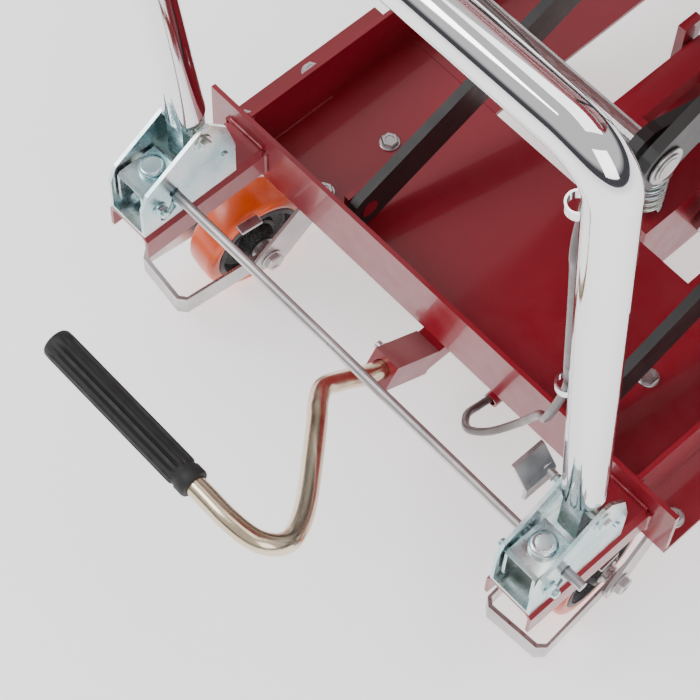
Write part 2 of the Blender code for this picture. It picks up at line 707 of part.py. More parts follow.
def build_cylinder():
    """Barrel on its base pin, and the ram whose open saddle lifts the lift shaft."""
    base = spot(CYLINDER_X, CYLINDER_Y, CYLINDER_Z)
    lift = (spot(CYLINDER_X, ARM_FOOT_Y, ARM_FOOT_Z)
            + Vector((0, ARM_RUN, ARM_LIFT)) * LIFT_REACH / ARM_LENGTH)
    along = lift - base
    tilt = Matrix.Rotation(math.atan2(along.z, along.y), 4, "X")
    pose = Matrix.Translation(base) @ tilt
    length = along.length
    hinge = axis_empty("cylinder_axis", base)
    barrel = turned([(0.0, 0), (0.0, BARREL_R), (BARREL_LENGTH, BARREL_R),
                     (BARREL_LENGTH, RAM_R + GAP), (0.012, RAM_R + GAP), (0.012, 0)], 20)
    spin = Matrix.Rotation(math.radians(90), 4, "Z")
    barrel.transform(pose @ spin)
    finish("lift_cylinder", barrel, "steel", base, hinge)
    ram = turned([(RAM_START, 0), (RAM_START, RAM_R), (length - 0.030, RAM_R), (length - 0.030, 0)], 16)
    ram.transform(pose @ spin)
    made = finish("lift_ram", ram, "chrome", base, hinge)
    saddle = [(-0.0285, -0.034), (0.019, -0.034), (0.019, 0.014), (0.010, 0.014),
              (0.010, -0.0105), (-0.0195, -0.0105), (-0.0195, 0.014), (-0.0285, 0.014)]
    head = prism([(length + ahead, across) for across, ahead in saddle], "X", -0.016, 0.016)
    head.transform(pose)
    join(made, head)


def build_pump():
    """Pump block with an upright plunger and its return spring."""
    made = finish("pump_block", box(spot(PUMP_X - BLOCK_HALF, BLOCK_FRONT, -0.085),
                                    spot(PUMP_X + BLOCK_HALF, BLOCK_REAR, -0.002)), "red_paint")
    rear = box(spot(-0.032, 0.262, -0.0846),
               spot(PUMP_X + BLOCK_HALF - GAP, BLOCK_REAR - GAP, -0.0024))
    ears = [box(spot(x - 0.004, 0.292, -0.010), spot(x + 0.004, 0.312, 0.090))
            for x in (PEDAL_X - 0.0195, PEDAL_X + 0.0195)]
    tray = box(spot(-0.204, 0.266, -0.084), spot(0.204, 0.296, -0.078))
    hangers = [box(spot(x - 0.003, 0.2664, -0.0836), spot(x + 0.003, 0.2956, -SHEET - GAP))
               for x in (-0.2006, 0.2006)]
    join(made, rear, tray, *ears, *hangers)
    cut(made, rod(spot(PUMP_X, PLUNGER_Y, -0.060), spot(PUMP_X, PLUNGER_Y, 0.01),
                  PLUNGER_R + GAP, 16))
    top = rod(spot(PUMP_X, PLUNGER_Y, -0.045), spot(PUMP_X, PLUNGER_Y, PLUNGER_TOP), PLUNGER_R, 16)
    guide = axis_empty("plunger_axis", spot(PUMP_X, PLUNGER_Y, 0))
    plunger = finish("pump_plunger", top, "steel", guide.location, guide)
    cap = rod(spot(PUMP_X, PLUNGER_Y, PLUNGER_TOP - 0.005),
              spot(PUMP_X, PLUNGER_Y, PLUNGER_TOP - 0.001), 0.017, 20)
    join(plunger, cap)
    wire, coil = 0.0018, 0.0138
    steps = int(SPRING_COILS * 14)
    start, stop = 0.0016, PLUNGER_TOP - 0.0075
    path = []
    for k in range(steps + 1):
        a = 2 * math.pi * SPRING_COILS * k / steps
        z = start + (stop - start) * k / steps
        path.append(spot(PUMP_X + coil * math.cos(a), PLUNGER_Y + coil * math.sin(a), z))
    finish("plunger_spring", swept(path, wire, 6), "zinc")


def pedal_point(across, along):
    """A point in the pedal's sloping plane, from the socket's start."""
    return spot(across, SOCKET_Y - along * math.cos(PEDAL_RISE), SOCKET_Z + along * math.sin(PEDAL_RISE))


def build_pedal():
    """Pump lever with its socket, the bent pedal tube and the ribbed grip."""
    hinge = axis_empty("pedal_axis", spot(0, PEDAL_PIVOT_Y, PEDAL_PIVOT_Z))
    x0, x1 = PEDAL_X - 0.012, PEDAL_X + 0.012
    side = [(0.000, -0.064), (0.204, -0.064), (0.204, 0.057), (0.3105, 0.057), (0.3105, 0.076),
            (0.190, 0.076), (0.190, -0.048), (0.000, -0.048)]
    shape = prism([(FRONT_Y + y, DECK_TOP + z) for y, z in side], "X", x0, x1)
    lever = finish("pedal_lever", shape, "red_paint", hinge.location, hinge)
    start = pedal_point(PEDAL_X, -0.012)
    end = pedal_point(PEDAL_X, 0.042)
    socket = box((-SOCKET_HALF, -SOCKET_HALF, 0), (SOCKET_HALF, SOCKET_HALF, (end - start).length))
    slope = Matrix.Rotation(math.radians(90) - PEDAL_RISE, 4, "X")
    socket.transform(Matrix.Translation(start) @ slope)
    finger = box(spot(PEDAL_X, PLUNGER_Y - 0.012, 0.0574), spot(PUMP_X + 0.012, PLUNGER_Y + 0.012, 0.0756))
    pin = rod(spot(PEDAL_X - 0.015, PEDAL_PIVOT_Y, PEDAL_PIVOT_Z),
              spot(PEDAL_X + 0.015, PEDAL_PIVOT_Y, PEDAL_PIVOT_Z), PIN_R, 12)
    join(lever, socket, finger, pin)
    cut(lever, swept([pedal_point(PEDAL_X, 0.006), pedal_point(PEDAL_X, 0.060)], PEDAL_R + GAP, 16))
    bends = ((PEDAL_X, 0.010), (PEDAL_X, 0.034), (PEDAL_X, 0.058), (-0.0120, 0.085),
             (-0.0125, 0.108), (0.000, 0.128), (0.016, 0.147), (0.065, 0.211), (0.084, 0.243),
             (0.088, 0.262), (0.078, 0.278), (0.055, 0.284), (0.019, 0.284), (-0.120, 0.284))
    path = smooth_path([pedal_point(*bend) for bend in bends], 48)
    finish("pedal_tube", swept(path, PEDAL_R, 14), "gold_zinc", hinge.location, hinge)
    build_grip(hinge)


def build_grip(hinge):
    """Ribbed rubber grip: a fluted sleeve, closed at its outer end."""
    flutes = 12
    shape = bmesh.new()
    near, far = 0.019, 0.019 - GRIP_LENGTH
    profile = [(near, 0.92), (near - 0.012, 1.0), (near - 0.016, 0.93), (near - 0.020, 1.0),
               (far + 0.006, 1.0), (far, 0.86)]
    rows = []
    middle = pedal_point(0, 0.284)
    for x, scale in profile:
        row = []
        for k in range(2 * flutes):
            a = math.pi * k / flutes
            radius = GRIP_R * scale * (1.0 if k % 2 else 0.93)
            row.append(shape.verts.new((x, middle.y + radius * math.cos(a),
                                        middle.z + radius * math.sin(a))))
        rows.append(row)
    bore = []
    for x in (near, far + 0.008):
        bore.append([shape.verts.new((x, middle.y + (PEDAL_R + GAP) * math.cos(math.pi * k / flutes),
                                      middle.z + (PEDAL_R + GAP) * math.sin(math.pi * k / flutes)))
                     for k in range(2 * flutes)])
    loops = [bore[1], bore[0]] + rows
    for one, two in zip(loops, loops[1:]):
        for k in range(2 * flutes):
            n = (k + 1) % (2 * flutes)
            shape.faces.new((one[k], one[n], two[n], two[k]))
    shape.faces.new(bore[1])
    shape.faces.new(rows[-1])
    bmesh.ops.recalc_face_normals(shape, faces=shape.faces)
    finish("pedal_grip", shape, "rubber", hinge.location, hinge)


def build():
    clear_scene()
    build_decks()
    build_rails()
    build_handle_mounts()
    build_handle()
    build_latch()
    build_release_lever()
    build_cable()
    for side, word in ((-1, "left"), (1, "right")):
        build_caster("front_" + word, side, CASTER_Y, CASTER_HEADING[word], CASTER_TRAIL, False)
        build_caster("rear_" + word, side, REAR_CASTER_Y, 0.0, 0.0, True)
    build_scissors()
    build_platform()
    build_cylinder()
    build_pump()
    build_pedal()


build()
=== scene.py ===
"""Visual model of the scissor lift trolley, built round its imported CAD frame.

Lengths are metres. Positions on the trolley are given as in the part: x to the right, y back from
the front lip and z up from the deck's top; spot() turns them into world places.
"""
import json
import math

import bmesh
import bpy
from mathutils import Matrix, Vector


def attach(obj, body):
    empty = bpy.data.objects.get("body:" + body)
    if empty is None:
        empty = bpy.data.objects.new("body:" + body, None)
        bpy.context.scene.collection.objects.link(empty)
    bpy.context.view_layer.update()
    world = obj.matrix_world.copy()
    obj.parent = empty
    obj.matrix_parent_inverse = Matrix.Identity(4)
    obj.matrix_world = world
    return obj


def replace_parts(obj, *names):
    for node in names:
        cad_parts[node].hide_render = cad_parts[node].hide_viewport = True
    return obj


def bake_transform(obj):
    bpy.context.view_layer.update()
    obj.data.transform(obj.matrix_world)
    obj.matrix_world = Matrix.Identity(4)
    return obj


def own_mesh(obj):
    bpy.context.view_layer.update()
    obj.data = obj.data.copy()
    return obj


# Shared sizes
DECK_TOP = 0.134
FRONT_Y = -0.35104
HANDLE_X = 0.206
LEG_Y, HANDLE_LEAN = -0.045, -0.124
LEG_END, HANDLE_TOP, HANDLE_BEND = 0.126, 0.578, 0.034
TUBE_R, TUBE_WALL = 0.016, 0.0025
PIVOT = (-0.0605, 0.104)
LATCH = (-0.105, 0.060)
BRACKET_HALF = 0.0195
PEDAL_X, PEDAL_R = -0.008, 0.008
PEDAL_RISE = math.radians(32)
SOCKET = (-0.005, -0.050)
GRIP_R, GRIP_LENGTH, GRIP_ALONG = 0.0120, 0.150, 0.284
WHEEL_R, WHEEL_HALF = 0.050, 0.016
CASTERS = {"front_left": (-0.1885, 0.0589, 0.070, math.radians(-6)),
           "front_right": (0.1885, 0.0589, 0.070, math.radians(4)),
           "rear_left": (-0.1885, 0.868, 0.0, 0.0),
           "rear_right": (0.1885, 0.868, 0.0, 0.0)}
ARM_LENGTH = 0.900
ARM_ANGLE = math.radians(22)
ARM_FOOT = (0.030, 0.0225)
SCISSOR_X, ARM_OUTSIDE = 0.0195, 0.1255
DECK_BOLTS = {"left": [(-0.1425, 0.0236), (-0.1425, 0.0941), (-0.2346, 0.0236), (-0.2346, 0.0941)],
              "right": [(0.1425, 0.0941), (0.2346, 0.0236), (0.2346, 0.0941)]}
PUMP_X, PLUNGER_Y = 0.031, 0.205
CABLE_R = 0.0031
SPRING_WIRE, SPRING_COIL, SPRING_TURNS = 0.0019, 0.0138, 5.5
SPRING_FOOT, SPRING_RISE = 0.0018, 0.0456

# Surroundings
FLOOR_REACH = 8.0
FLOOR_GLOW = 0.85
ROOM_STRENGTH = 0.75
LIGHTS = (("key", (-1.6, -1.8, 2.6), 1.6, 55),
          ("fill", (2.4, -1.0, 1.8), 1.8, 30),
          ("top", (0.2, 0.6, 3.4), 2.4, 40))
LIGHT_TARGET = (0, -0.25, 0.2)
CAMERA_PLACE = (0.540, -0.6344, 1.4813)
CAMERA_AZIMUTH = math.radians(44.402)
CAMERA_PITCH = math.radians(61.387)
CAMERA_ROLL = math.radians(3.234)
CAMERA_LENS = 114.77


def spot(x, y, z):
    """World place of a point given from the front lip and the deck's top."""
    return Vector((x, FRONT_Y + y, DECK_TOP + z))


def save_size():
    """Bring the view layer up to date."""
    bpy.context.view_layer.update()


# ---- materials ----

class Finish:
    """A Principled material with helpers for procedural detail in object space."""

    def __init__(self, name, colour, roughness, metallic=0.0, coat=0.0, coat_roughness=0.05):
        self.material = bpy.data.materials.new(name)
        self.material.use_nodes = True
        self.tree = self.material.node_tree
        self.shader = self.tree.nodes["Principled BSDF"]
        self.place = self.tree.nodes.new("ShaderNodeTexCoord").outputs["Object"]
        self.shader.inputs["Base Color"].default_value = (*colour, 1)
        self.shader.inputs["Roughness"].default_value = roughness
        self.shader.inputs["Metallic"].default_value = metallic
        self.shader.inputs["Coat Weight"].default_value = coat
        self.shader.inputs["Coat Roughness"].default_value = coat_roughness

    def noise(self, scale, detail=4.0, stretch=(1, 1, 1)):
        """Noise value over the surface, stretched along the object's axes."""
        mapping = self.tree.nodes.new("ShaderNodeMapping")
        mapping.inputs["Scale"].default_value = stretch
        texture = self.tree.nodes.new("ShaderNodeTexNoise")
        texture.inputs["Scale"].default_value = scale
        texture.inputs["Detail"].default_value = detail
        self.tree.links.new(self.place, mapping.inputs["Vector"])
        self.tree.links.new(mapping.outputs["Vector"], texture.inputs["Vector"])
        return texture.outputs["Fac"]

    def ramp(self, value, stops):
        """Colours along a value, given as (position, colour) stops."""
        node = self.tree.nodes.new("ShaderNodeValToRGB")
        self.tree.links.new(value, node.inputs["Fac"])
        elements = node.color_ramp.elements
        while len(elements) < len(stops):
            elements.new(0.5)
        for element, (position, colour) in zip(elements, stops):
            element.position = position
            element.color = (*colour, 1)
        return node.outputs["Color"]

    def vary_colour(self, value, stops):
        self.tree.links.new(self.ramp(value, stops), self.shader.inputs["Base Color"])

    def vary_roughness(self, value, low, high):
        node = self.tree.nodes.new("ShaderNodeMapRange")
        node.inputs["From Min"].default_value = 0.3
        node.inputs["From Max"].default_value = 0.7
        node.inputs["To Min"].default_value = low
        node.inputs["To Max"].default_value = high
        self.tree.links.new(value, node.inputs["Value"])
        self.tree.links.new(node.outputs["Result"], self.shader.inputs["Roughness"])

    def bump(self, value, strength, distance):
        node = self.tree.nodes.new("ShaderNodeBump")
        node.inputs["Strength"].default_value = strength
        node.inputs["Distance"].default_value = distance
        self.tree.links.new(value, node.inputs["Height"])
        self.tree.links.new(node.outputs["Normal"], self.shader.inputs["Normal"])


def red_paint():
    made = Finish("crimson powder coat", (0.25, 0.004, 0.014), 0.34, coat=0.55, coat_roughness=0.08)
    made.vary_colour(made.noise(9, 3), [(0.3, (0.215, 0.003, 0.012)), (0.7, (0.265, 0.005, 0.017))])
    made.vary_roughness(made.noise(60), 0.28, 0.42)
    made.bump(made.noise(420, 2), 0.06, 0.0004)
    return made.material


def black_paint():
    made = Finish("black enamel", (0.012, 0.011, 0.011), 0.48, coat=0.15, coat_roughness=0.25)
    made.vary_colour(made.noise(25), [(0.3, (0.008, 0.007, 0.007)), (0.7, (0.018, 0.016, 0.016))])
    made.vary_roughness(made.noise(50), 0.42, 0.56)
    made.bump(made.noise(500, 2), 0.08, 0.0003)
    return made.material


def zinc():
    made = Finish("blue zinc plate", (0.60, 0.70, 0.72), 0.25, metallic=1.0)
    made.vary_colour(made.noise(22, 3), [(0.30, (0.36, 0.55, 0.60)), (0.47, (0.56, 0.72, 0.74)),
                                        (0.58, (0.70, 0.76, 0.78)), (0.68, (0.66, 0.72, 0.62))])
    made.vary_roughness(made.noise(90), 0.17, 0.33)
    made.bump(made.noise(300, 3), 0.10, 0.0003)
    return made.material


def pale_zinc():
    made = Finish("rosy zinc plate", (0.56, 0.51, 0.52), 0.33, metallic=1.0)
    made.vary_colour(made.noise(18, 3), [(0.35, (0.48, 0.44, 0.45)), (0.65, (0.64, 0.59, 0.60))])
    made.vary_roughness(made.noise(80), 0.26, 0.42)
    made.bump(made.noise(350, 3), 0.12, 0.0003)
    return made.material


def chrome():
    made = Finish("chrome", (0.86, 0.86, 0.88), 0.04, metallic=1.0)
    made.vary_roughness(made.noise(30), 0.025, 0.075)
    return made.material


def gold_zinc():
    made = Finish("gold zinc plate", (0.72, 0.60, 0.43), 0.22, metallic=1.0)
    made.vary_colour(made.noise(14, 3), [(0.3, (0.60, 0.48, 0.33)), (0.55, (0.74, 0.63, 0.47)),
                                        (0.75, (0.80, 0.72, 0.60))])
    made.vary_roughness(made.noise(70), 0.16, 0.28)
    made.bump(made.noise(220, 3), 0.06, 0.0003)
    return made.material


def steel():
    made = Finish("plain steel", (0.52, 0.50, 0.50), 0.32, metallic=1.0)
    made.vary_colour(made.noise(30), [(0.3, (0.44, 0.42, 0.42)), (0.7, (0.62, 0.60, 0.60))])
    made.vary_roughness(made.noise(120, stretch=(1, 6, 1)), 0.24, 0.42)
    return made.material


def orange_tread():
    made = Finish("orange tread", (0.86, 0.105, 0.012), 0.32, coat=0.4, coat_roughness=0.2)
    made.vary_colour(made.noise(20), [(0.3, (0.78, 0.085, 0.010)), (0.7, (0.90, 0.125, 0.016))])
    made.vary_roughness(made.noise(60), 0.25, 0.42)
    made.bump(made.noise(260), 0.05, 0.0003)
    return made.material


def black_core():
    made = Finish("pebbled black core", (0.02, 0.02, 0.02), 0.45)
    made.vary_colour(made.noise(800, 2), [(0.45, (0.010, 0.010, 0.011)), (0.68, (0.10, 0.10, 0.10))])
    made.vary_roughness(made.noise(500), 0.25, 0.6)
    made.bump(made.noise(800, 2), 0.5, 0.0005)
    return made.material


def grey_ring():
    made = Finish("grey wheel ring", (0.07, 0.075, 0.08), 0.45)
    made.vary_roughness(made.noise(80), 0.38, 0.55)
    made.bump(made.noise(500, 2), 0.1, 0.0003)
    return made.material


def rubber():
    made = Finish("ribbed rubber", (0.010, 0.010, 0.010), 0.62)
    made.vary_colour(made.noise(40), [(0.3, (0.007, 0.007, 0.007)), (0.7, (0.014, 0.013, 0.013))])
    made.vary_roughness(made.noise(120), 0.55, 0.72)
    made.bump(made.noise(900, 2), 0.15, 0.0003)
    return made.material


def cable():
    made = Finish("cable sheath", (0.075, 0.050, 0.050), 0.3, coat=0.3, coat_roughness=0.2)
    made.vary_colour(made.noise(60), [(0.3, (0.055, 0.036, 0.036)), (0.7, (0.10, 0.070, 0.068))])
    made.vary_roughness(made.noise(90), 0.25, 0.4)
    return made.material


def pale_floor():
    made = Finish("floor", (0.90, 0.90, 0.90), 0.7)
    made.shader.inputs["Emission Color"].default_value = (1, 1, 1, 1)
    made.shader.inputs["Emission Strength"].default_value = FLOOR_GLOW
    return made.material


# ---- shapes ----

def piece(name, shape, paint, body, smooth=35):
    """Make a visible piece from a world-space shape, riding on a CAD body."""
    name = name.replace(" ", "_")
    mesh = bpy.data.meshes.new(name)
    bmesh.ops.recalc_face_normals(shape, faces=shape.faces)
    shape.to_mesh(mesh)
    shape.free()
    mesh.shade_smooth()
    mesh.set_sharp_from_angle(angle=math.radians(smooth))
    mesh.materials.append(paint)
    made = bpy.data.objects.new(name, mesh)
    bpy.context.scene.collection.objects.link(made)
    if body:
        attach(made, body)
    return made


def soften(made, width=0.0006, segments=2):
    """Round an object's edges a little, as folded and plated parts have them."""
    step = made.modifiers.new("edges", "BEVEL")
    step.width = width
    step.segments = segments
    step.limit_method = "ANGLE"
    step.angle_limit = math.radians(38)
    step.harden_normals = True


def turned(profile, segments=48, closed=False):
    """A solid of revolution about X from (x, radius) points; closed joins the profile's ends."""
    shape = bmesh.new()
    rows = []
    for x, radius in profile:
        if radius == 0:
            rows.append([shape.verts.new((x, 0, 0))])
            continue
        rows.append([shape.verts.new((x, radius * math.cos(a), radius * math.sin(a)))
                     for a in (2 * math.pi * k / segments for k in range(segments))])
    pairs = list(zip(rows, rows[1:] + rows[:1])) if closed else list(zip(rows, rows[1:]))
    for one, two in pairs:
        for k in range(segments):
            n = (k + 1) % segments
            corners = [one[k % len(one)], two[k % len(two)], two[n % len(two)], one[n % len(one)]]
            shape.faces.new(list(dict.fromkeys(corners)))
    return shape


def swept(path, radius, sides=24, inner=None, swell=None):
    """A round bar or tube along a path; swell(i) scales the radius at each point."""
    shape = bmesh.new()
    side = None
    loops = {"outer": [], "inner": []}
    for i, point in enumerate(path):
        ahead = (path[min(i + 1, len(path) - 1)] - path[max(i - 1, 0)]).normalized()
        if side is None:
            side = ahead.orthogonal().normalized()
        side = (side - ahead * side.dot(ahead)).normalized()
        up = ahead.cross(side)
        grow = swell(i) if swell else 1.0
        for name, size in (("outer", radius), ("inner", inner)):
            if size:
                loops[name].append([
                    shape.verts.new(point + grow * size * (side * math.cos(a) + up * math.sin(a)))
                    for a in (2 * math.pi * k / sides for k in range(sides))])

    def skin(one, two):
        for k in range(sides):
            n = (k + 1) % sides
            shape.faces.new((one[k], one[n], two[n], two[k]))
    for name in loops:
        for one, two in zip(loops[name], loops[name][1:]):
            skin(one, two)
    if inner:
        skin(loops["outer"][0], loops["inner"][0])
        skin(loops["outer"][-1], loops["inner"][-1])
    else:
        shape.faces.new(loops["outer"][0])
        shape.faces.new(loops["outer"][-1])
    return shape


def rounded_path(corners, bend, steps):
    """A path through corner points with each inner corner rounded to the bend radius."""
    path = [corners[0]]
    for before, corner, after in zip(corners, corners[1:], corners[2:]):
        back = (before - corner).normalized()
        on = (after - corner).normalized()
        half = back.angle(on) / 2
        middle = corner + (back + on).normalized() * bend / math.sin(half)
        start = corner + back * bend / math.tan(half) - middle
        stop = corner + on * bend / math.tan(half) - middle
        total = start.angle(stop)
        for k in range(steps + 1):
            t = k / steps
            blend = (start * math.sin((1 - t) * total) + stop * math.sin(t * total)) / math.sin(total)
            path.append(middle + blend)
    return path + [corners[-1]]


def smooth_path(points, count):
    """Points along a smooth curve that passes through the given points."""
    path = []
    ends = [points[0] * 2 - points[1]] + points + [points[-1] * 2 - points[-2]]
    pieces = len(points) - 1
    for k in range(count + 1):
        whole = min(int(k * pieces / count), pieces - 1)
        t = k * pieces / count - whole
        a, b, c, d = ends[whole:whole + 4]
        path.append(0.5 * (2 * b + (c - a) * t + (2 * a - 5 * b + 4 * c - d) * t ** 2
                           + (3 * b - a - 3 * c + d) * t ** 3))
    return path


def along(start, direction):
    """Pose that lays the X axis along a direction at a start point."""
    turn = Vector((1, 0, 0)).rotation_difference(Vector(direction)).to_matrix().to_4x4()
    return Matrix.Translation(start) @ turn


def moved(shape, pose):
    shape.transform(pose)
    return shape


def merged(shapes):
    """Several loose shapes as one, for fasteners that stay together."""
    whole = bmesh.new()
    for shape in shapes:
        mesh = bpy.data.meshes.new("loose")
        shape.to_mesh(mesh)
        shape.free()
        whole.from_mesh(mesh)
        bpy.data.meshes.remove(mesh)
    return whole


def hex_bolt(width=0.013, height=0.0052, washer=0.0085, stub=0.0):
    """Hex head with chamfered corners and a dimple, on a washer, with an optional thread end."""
    corner = width / 2 / math.cos(math.radians(30))
    head = turned([(0.0014, 0), (0.0014, corner), (height * 0.80, corner), (height, corner * 0.86),
                   (height, corner * 0.55), (height * 0.90, corner * 0.48), (height * 0.90, 0)], 6)
    shapes = [head, turned([(0, 0), (0, washer * 0.97), (0.0004, washer), (0.0012, washer),
                            (0.0015, washer * 0.95), (0.0015, 0)], 32)]
    if stub:
        shapes.append(turned([(height * 0.85, 0), (height * 0.85, 0.0036), (height + stub, 0.0036),
                              (height + stub + 0.0006, 0.0029), (height + stub + 0.0006, 0)], 20))
    return merged(shapes)


def weld(start, end, radius, name):
    """A rippled weld bead between two points on the frame."""
    def ripple(i):
        return 0.82 + 0.16 * abs(math.sin(i * 1.35)) + 0.07 * math.sin(i * 0.43)
    length = (end - start).length
    steps = max(6, int(length / 0.0011))
    path = [start.lerp(end, k / steps) for k in range(steps + 1)]
    piece(name, swept(path, radius, 10, swell=ripple), paints["red_paint"], "frame", 60)


# ---- pieces ----

def handle_point(x, z):
    return spot(x, LEG_Y + HANDLE_LEAN * z, z)


def build_handle():
    """Chrome tube, its two cable eyes and the pivot nuts."""
    corners = [handle_point(-HANDLE_X, LEG_END), handle_point(-HANDLE_X, HANDLE_TOP),
               handle_point(HANDLE_X, HANDLE_TOP), handle_point(HANDLE_X, LEG_END)]
    tube = piece("handle tube", swept(rounded_path(corners, HANDLE_BEND, 16), TUBE_R, 48,
                                      TUBE_R - TUBE_WALL), paints["chrome"], "handle")
    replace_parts(tube, "handle_tube")
    for z in (0.268, 0.505):
        eye = turned([(-0.004, 0.0062), (-0.004, 0.0076), (0.004, 0.0076), (0.004, 0.0062)], 40,
                     closed=True)
        leg = handle_point(0, 1) - handle_point(0, 0)
        piece("cable eye " + str(round(z * 1000)), moved(eye, along(handle_point(0.1836, z), leg)),
              paints["chrome"], "handle")
    for side, word in ((-1, "left"), (1, "right")):
        x = side * HANDLE_X
        for way in (-1, 1):
            # The foot tab's bolt takes this nut's place.
            if side == 1 and way == -1:
                continue
            at = spot(x + way * BRACKET_HALF, *PIVOT)
            piece("pivot nut " + word + (" outer" if way == side else " inner"),
                  moved(hex_bolt(0.010, 0.0048, 0.0078), along(at, (way, 0, 0))),
                  paints["zinc"], "frame")


def build_latch():
    """Pin heads and the domed buttons on the latch blocks."""
    for side, word in ((-1, "left"), (1, "right")):
        x = side * HANDLE_X
        button = moved(turned([(0, 0), (0, 0.0104), (0.0008, 0.0108), (0.0046, 0.0104),
                               (0.0058, 0.0094), (0.0064, 0.0078), (0.0061, 0.0060), (0.0061, 0)], 48),
                       along(spot(x, -0.094, 0.0806), (0, 0, 1)))
        piece("latch button " + word, button, paints["zinc"], "latch")
        for way in (-1, 1):
            at = spot(x + way * BRACKET_HALF, *LATCH)
            piece("latch pin " + word + (" outer" if way == side else " inner"),
                  moved(hex_bolt(0.0096, 0.0050, 0.0064, 0.0028), along(at, (way, 0, 0))),
                  paints["zinc"], "frame")
        lug = moved(turned([(0, 0), (0, 0.0036), (0.0016, 0.0028), (0.0016, 0)], 16),
                    along(spot(x + BRACKET_HALF, -0.040, 0.068), (1, 0, 0)))
        piece("punched lug " + word, lug, paints["zinc"], "frame")
    tab_bolt = hex_bolt(0.010, 0.0050, 0.0070, 0.002)
    piece("tab bolt", moved(tab_bolt, along(spot(0.1730, *PIVOT), (-1, 0, 0))),
          paints["steel"], "release_tab")


def pedal_point(across, way):
    return spot(across, SOCKET[0] - way * math.cos(PEDAL_RISE), SOCKET[1] + way * math.sin(PEDAL_RISE))


def build_pedal():
    """Bent pedal tube, ribbed grip and the socket's bolt."""
    bends = ((PEDAL_X, 0.010), (PEDAL_X, 0.034), (PEDAL_X, 0.058), (-0.0120, 0.085), (-0.0125, 0.108),
             (0.000, 0.128), (0.016, 0.147), (0.065, 0.211), (0.084, 0.243), (0.088, 0.262),
             (0.078, 0.278), (0.055, 0.284), (0.019, 0.284), (-0.120, 0.284))
    path = smooth_path([pedal_point(*bend) for bend in bends], 130)
    tube = piece("pedal tube", swept(path, PEDAL_R, 36), paints["gold_zinc"], "pedal")
    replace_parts(tube, "pedal_tube")
    grip = piece("pedal grip", grip_shape(), paints["rubber"], "pedal", 50)
    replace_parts(grip, "pedal_grip")
    bolt = hex_bolt(0.010, 0.0056, 0.0070, 0.004)
    at = pedal_point(PEDAL_X - 0.0125, 0.020)
    piece("socket bolt", moved(bolt, along(at, (-1, 0, 0))), paints["pale_zinc"], "pedal")


def grip_shape():
    """Fluted sleeve with a plain collar at its mouth and a rounded, closed end."""
    ribs, per_rib = 14, 8
    count = ribs * per_rib
    bore_r = PEDAL_R + 0.00015
    near, far = 0.019, 0.019 - GRIP_LENGTH
    middle = pedal_point(0, GRIP_ALONG)
    profile = [(near + 0.0004, 0.80, 0.0), (near, 0.93, 0.0), (near - 0.0015, 0.98, 0.0),
               (near - 0.0090, 0.98, 0.0), (near - 0.0100, 0.90, 0.0), (near - 0.0125, 0.90, 0.0),
               (near - 0.0135, 0.98, 0.5), (near - 0.0160, 1.0, 1.0), (far + 0.0150, 1.0, 1.0),
               (far + 0.0110, 1.0, 0.6), (far + 0.0070, 1.0, 0.0), (far + 0.0025, 0.98, 0.0),
               (far + 0.0008, 0.90, 0.0), (far, 0.72, 0.0)]
    shape = bmesh.new()
    rows = []
    for x, scale, fluting in profile:
        row = []
        for k in range(count):
            a = 2 * math.pi * k / count
            wave = max(0.0, math.cos(a * ribs)) ** 0.7
            radius = GRIP_R * scale * (1 - 0.17 * fluting * wave)
            row.append(shape.verts.new((x, middle.y + radius * math.cos(a),
                                        middle.z + radius * math.sin(a))))
        rows.append(row)
    bore = []
    for x in (near + 0.0004, near - 0.020):
        bore.append([shape.verts.new((x, middle.y + bore_r * math.cos(2 * math.pi * k / count),
                                      middle.z + bore_r * math.sin(2 * math.pi * k / count)))
                     for k in range(count)])
    loops = [bore[1], bore[0]] + rows
    for one, two in zip(loops, loops[1:]):
        for k in range(count):
            n = (k + 1) % count
            shape.faces.new((one[k], one[n], two[n], two[k]))
    shape.faces.new(rows[-1])
    shape.faces.new(bore[1])
    return shape


